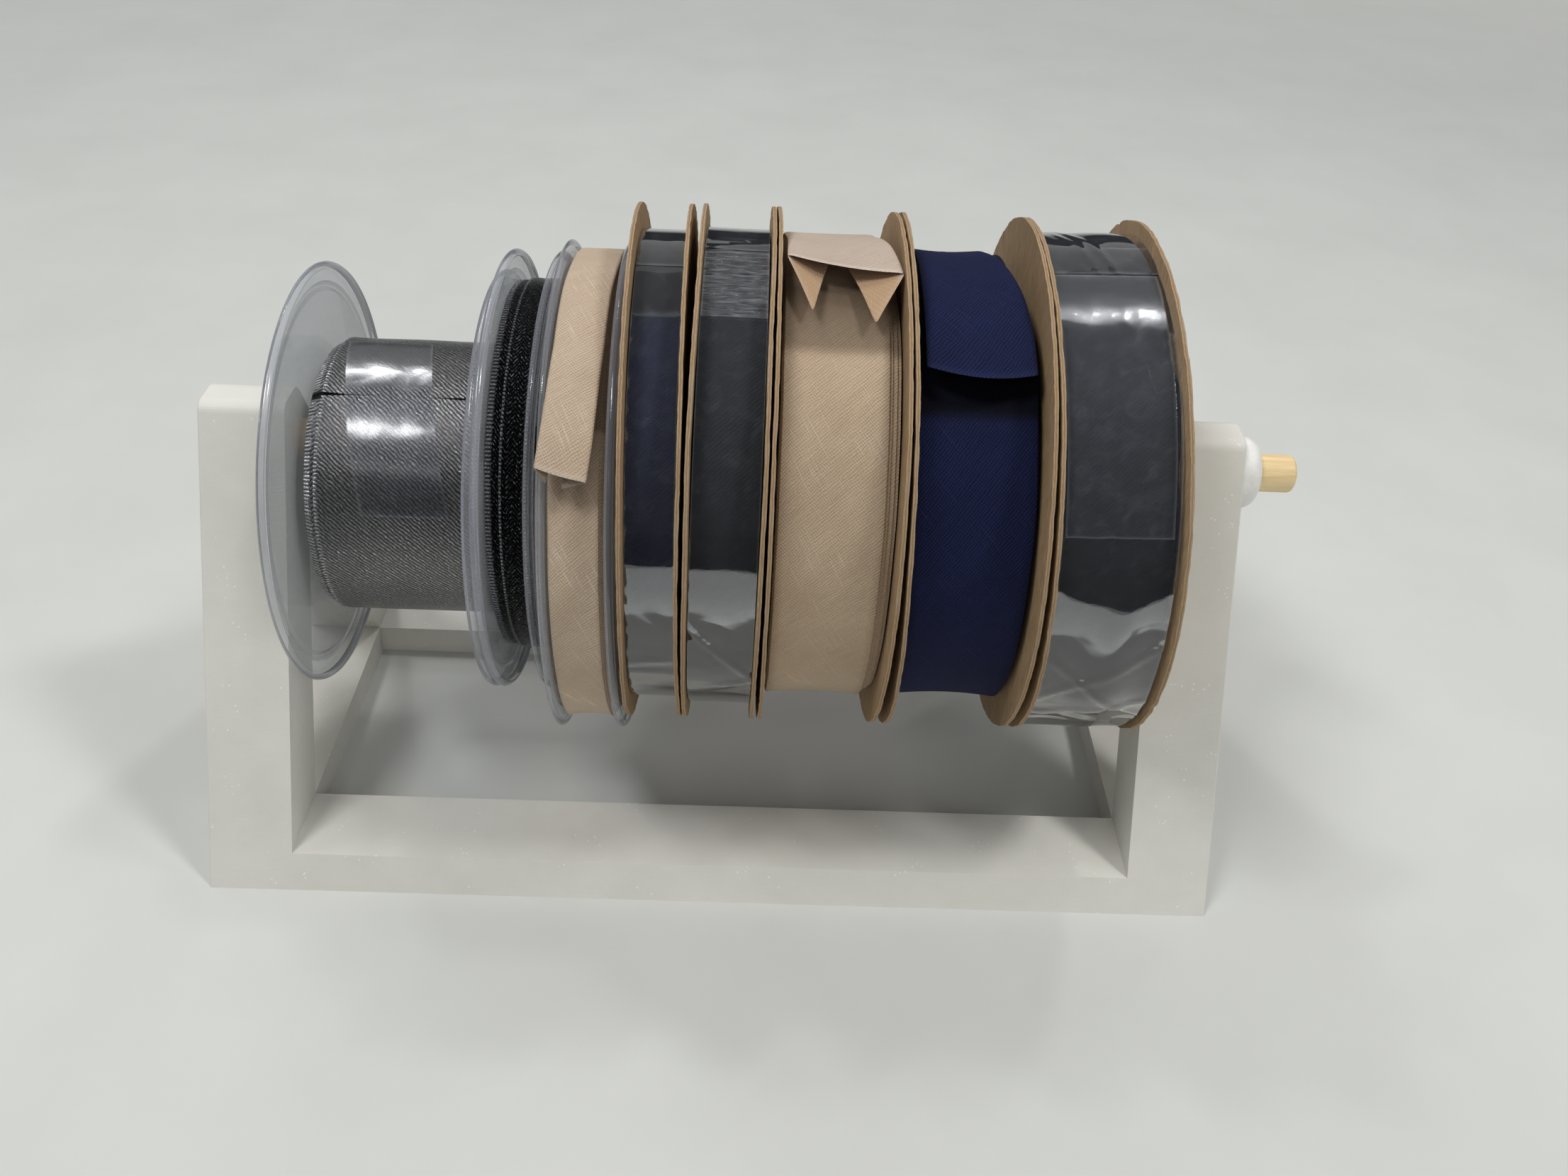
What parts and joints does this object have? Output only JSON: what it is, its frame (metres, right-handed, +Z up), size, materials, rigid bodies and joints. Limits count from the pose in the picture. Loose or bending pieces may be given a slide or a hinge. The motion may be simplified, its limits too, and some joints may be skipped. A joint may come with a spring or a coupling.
{
  "type": "ribbon spool dispenser",
  "caption": "Free-standing rack with two A-shaped ends, a wooden rod between them, and a row of turning spools of ribbon and bias binding.",
  "frame": {"origin": "middle of the assembly's footprint, on the counter", "axes": "+X along the rod, out of its free end; +Y from front to back; +Z up"},
  "size_m": [0.2704, 0.1272, 0.1588],
  "materials": {
    "printed_white": "warm white printed plastic with fine layer lines",
    "bush_white": "cool white plastic, slightly bumpy",
    "rod_wood": "bare pale wood",
    "clear_plastic": "clear moulded plastic, glossy",
    "grey_satin": "grey satin ribbon, diagonal weave",
    "black_satin": "black satin ribbon, diagonal weave",
    "beige_binding": "beige cotton bias binding",
    "navy_ribbon": "navy ribbon",
    "charcoal_ribbon": "charcoal ribbon",
    "navy_binding": "navy cotton bias binding",
    "kraft_card": "brown kraft card",
    "clear_film": "clear wrapping film",
    "clear_tape": "clear sticky tape"
  },
  "bodies": {
    "stand": {"stand_frame": "printed_white"},
    "bush": {"end_bush": "bush_white"},
    "rod": {"axle_rod": "rod_wood"},
    "spool_a": {"a_flange_left": "clear_plastic", "a_flange_right": "clear_plastic", "a_ribbon": "grey_satin", "a_outer_turn": "grey_satin", "a_tape": "clear_tape"},
    "spool_b": {"b_flange_left": "clear_plastic", "b_flange_right": "clear_plastic", "b_ribbon": "black_satin", "b_outer_turn": "black_satin"},
    "spool_c": {"c_flange_left": "clear_plastic", "c_flange_right": "clear_plastic", "c_ribbon": "beige_binding", "c_tail": "beige_binding"},
    "spool_d": {"d_flange_left": "kraft_card", "d_flange_right": "kraft_card", "d_ribbon": "navy_ribbon", "d_core": "kraft_card", "d_film": "clear_film"},
    "spool_e": {"e_flange_left": "kraft_card", "e_flange_right": "kraft_card", "e_ribbon": "charcoal_ribbon", "e_core": "kraft_card", "e_film": "clear_film", "e_tape": "clear_tape"},
    "spool_f": {"f_flange_left": "kraft_card", "f_flange_right": "kraft_card", "f_ribbon": "beige_binding", "f_core": "kraft_card", "f_end": "beige_binding"},
    "spool_g": {"g_flange_left": "kraft_card", "g_flange_right": "kraft_card", "g_ribbon": "navy_binding", "g_core": "kraft_card", "g_end": "navy_binding"},
    "spool_h": {"h_flange_left": "kraft_card", "h_flange_right": "kraft_card", "h_ribbon": "charcoal_ribbon", "h_core": "kraft_card", "h_film": "clear_film", "h_tape": "clear_tape"}
  },
  "joints": [
    {"name": "bush_slide", "type": "slide", "parent": "stand", "child": "bush", "axis": [1, 0, 0], "range_m": [0, 0.25]},
    {"name": "rod_spin", "type": "hinge", "parent": "bush", "child": "rod", "pos_m": [0.1198, 0, 0.098], "axis": [1, 0, 0], "continuous": true},
    {"name": "spool_a_spin", "type": "hinge", "parent": "stand", "child": "spool_a", "pos_m": [-0.0854, 0, 0.08789], "axis": [0.9999, 0.008, -0.006], "continuous": true},
    {"name": "spool_b_spin", "type": "hinge", "parent": "stand", "child": "spool_b", "pos_m": [-0.05515, 0, 0.09087], "axis": [1, 0, -0.003], "continuous": true},
    {"name": "spool_c_spin", "type": "hinge", "parent": "stand", "child": "spool_c", "pos_m": [-0.03915, 0, 0.08705], "axis": [0.9999, 0.016, 0], "continuous": true},
    {"name": "spool_d_spin", "type": "hinge", "parent": "stand", "child": "spool_d", "pos_m": [-0.0237, 0, 0.09463], "axis": [0.9998, 0.02, -0.005], "continuous": true},
    {"name": "spool_e_spin", "type": "hinge", "parent": "stand", "child": "spool_e", "pos_m": [-0.00707, 0, 0.09473], "axis": [0.9999, 0.008, -0.015], "continuous": true},
    {"name": "spool_f_spin", "type": "hinge", "parent": "stand", "child": "spool_f", "pos_m": [0.0166, 0, 0.09477], "axis": [0.9999, 0.008, -0.012], "continuous": true},
    {"name": "spool_g_spin", "type": "hinge", "parent": "stand", "child": "spool_g", "pos_m": [0.0477, 0, 0.09472], "axis": [1, 0, 0.008], "continuous": true},
    {"name": "spool_h_spin", "type": "hinge", "parent": "stand", "child": "spool_h", "pos_m": [0.07805, 0, 0.09499], "axis": [0.9996, -0.003, 0.028], "continuous": true}
  ]
}
